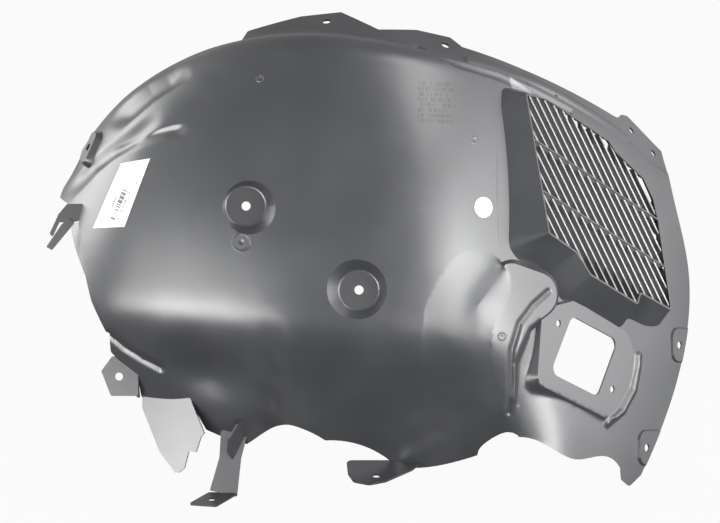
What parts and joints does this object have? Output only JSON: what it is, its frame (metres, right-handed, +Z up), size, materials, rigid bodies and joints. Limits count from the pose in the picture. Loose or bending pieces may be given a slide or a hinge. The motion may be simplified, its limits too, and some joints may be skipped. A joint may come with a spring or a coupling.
{
  "type": "wheel arch liner",
  "caption": "Moulded plastic front wheel arch liner: domed cheek, rolled top lip, louvred air outlet box, access opening and screw tabs.",
  "frame": {"origin": "midway between the holes of the two screw dishes, on the plane of the dish floors", "axes": "+X towards the car's front, +Z up, -Y out of the cheek's hidden face, raked back as pictured"},
  "size_m": [0.8415, 0.3997, 0.6033],
  "materials": {
    "plastic": "satin moulded",
    "label": "printed paper",
    "sticker": "plain paper"
  },
  "bodies": {
    "root": {"liner": "plastic", "label": "label", "sticker": "sticker"}
  },
  "joints": []
}
